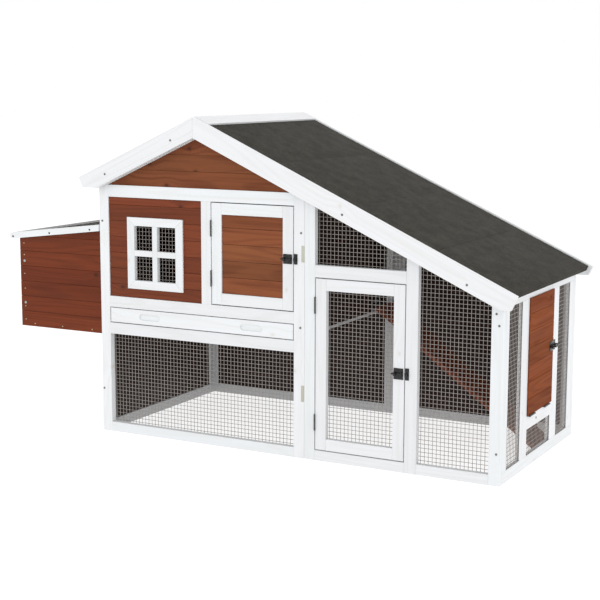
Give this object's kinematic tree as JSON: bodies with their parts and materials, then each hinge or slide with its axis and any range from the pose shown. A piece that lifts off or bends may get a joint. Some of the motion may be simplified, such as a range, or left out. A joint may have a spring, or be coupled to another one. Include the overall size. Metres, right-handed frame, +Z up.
{
  "type": "chicken coop",
  "caption": "Wooden chicken coop: a raised planked house with a nest box on one side and a wire-mesh run on the other, under a long sloping felt roof.",
  "frame": {"origin": "middle of the footprint of the whole coop, on the ground", "axes": "+X along the length from the nest box to the open end of the run, -Y to the front with the window and doors, +Z up"},
  "size_m": [1.8268, 0.7572, 1.0492],
  "materials": {
    "white_painted_wood": "thin white glaze over fir, satin",
    "red_stained_wood": "red-brown stained fir planks, satin",
    "bare_wood": "bare planed fir",
    "roofing_felt": "dark grey mineral felt",
    "galvanised_wire": "galvanised",
    "black_steel": "black coated",
    "zinc_steel": "zinc plated"
  },
  "bodies": {
    "coop": {"back_wall_cladding": "red_stained_wood", "back_wall_frame": "white_painted_wood", "bolt_keepers": "black_steel", "divider_cladding": "red_stained_wood", "divider_frame": "white_painted_wood", "door_hinge_fixed_leaves": "black_steel", "frame_screws": "black_steel", "gable_cladding": "red_stained_wood", "house_front_cladding": "red_stained_wood", "house_front_frame": "white_painted_wood", "house_front_mesh": "galvanised_wire", "joining_keys": "bare_wood", "left_wall_cladding": "red_stained_wood", "left_wall_frame": "white_painted_wood", "nest_box_bolts": "zinc_steel", "nest_box_end": "red_stained_wood", "nest_box_floor": "bare_wood", "nest_box_nails": "zinc_steel", "nest_box_partition": "bare_wood", "nest_box_posts": "bare_wood", "nest_box_sides": "red_stained_wood", "nest_lid_hinge_fixed_leaves": "black_steel", "perch": "red_stained_wood", "rake_boards_back": "white_painted_wood", "rake_boards_front": "white_painted_wood", "ramp_board": "red_stained_wood", "ramp_treads": "red_stained_wood", "ridge_boards": "white_painted_wood", "roof_boards": "white_painted_wood", "roof_felt_left": "roofing_felt", "roof_felt_right": "roofing_felt", "run_end_frame": "white_painted_wood", "run_end_mesh": "galvanised_wire", "run_front_frame": "white_painted_wood", "run_front_mesh": "galvanised_wire", "tray_runners": "red_stained_wood", "window_trim": "white_painted_wood"},
    "house_door": {"house_door_frame": "white_painted_wood", "house_door_cladding": "red_stained_wood", "house_door_hinge_leaves": "black_steel", "house_door_bolt_plate": "black_steel"},
    "house_bolt": {"house_door_bolt_rod": "black_steel"},
    "run_door": {"run_door_frame": "white_painted_wood", "run_door_mesh": "galvanised_wire", "run_door_hinge_leaves": "black_steel", "run_door_bolt_plate": "black_steel"},
    "run_bolt": {"run_door_bolt_rod": "black_steel"},
    "ramp_door": {"ramp_door_planks": "red_stained_wood", "ramp_door_treads": "bare_wood", "ramp_door_hinge_leaves": "black_steel", "ramp_door_bolt_plate": "black_steel"},
    "ramp_bolt": {"ramp_door_bolt_rod": "black_steel"},
    "nest_lid": {"nest_lid_board": "bare_wood", "nest_lid_felt": "roofing_felt", "nest_lid_trims": "white_painted_wood", "nest_lid_hinge_leaves": "black_steel", "nest_lid_screws": "black_steel"},
    "tray": {"tray_front": "white_painted_wood", "tray_pan": "zinc_steel"}
  },
  "joints": [
    {"name": "house_door_swing", "type": "hinge", "parent": "coop", "child": "house_door", "pos_m": [-0.10661, -0.34898, 0], "axis": [0, 0, -1], "range_deg": [0, 100]},
    {"name": "run_door_swing", "type": "hinge", "parent": "coop", "child": "run_door", "pos_m": [0.26289, -0.34898, 0], "axis": [0, 0, -1], "range_deg": [0, 100]},
    {"name": "ramp_door_fold", "type": "hinge", "parent": "coop", "child": "ramp_door", "pos_m": [0.8716, -0.34637, 0.1595], "axis": [0, 1, 0], "range_deg": [0, 115]},
    {"name": "nest_lid_lift", "type": "hinge", "parent": "coop", "child": "nest_lid", "pos_m": [-0.5377, -0.34637, 0.6939], "axis": [0, 1, 0], "range_deg": [0, 65]},
    {"name": "tray_slide", "type": "slide", "parent": "coop", "child": "tray", "axis": [0, -1, 0], "range_m": [0, 0.45]},
    {"name": "house_bolt_slide", "type": "slide", "parent": "house_door", "child": "house_bolt", "axis": [1, 0, 0], "range_m": [0, 0.0115]},
    {"name": "run_bolt_slide", "type": "slide", "parent": "run_door", "child": "run_bolt", "axis": [1, 0, 0], "range_m": [0, 0.0115]},
    {"name": "ramp_bolt_slide", "type": "slide", "parent": "ramp_door", "child": "ramp_bolt", "axis": [0, 1, 0], "range_m": [0, 0.0115]}
  ]
}
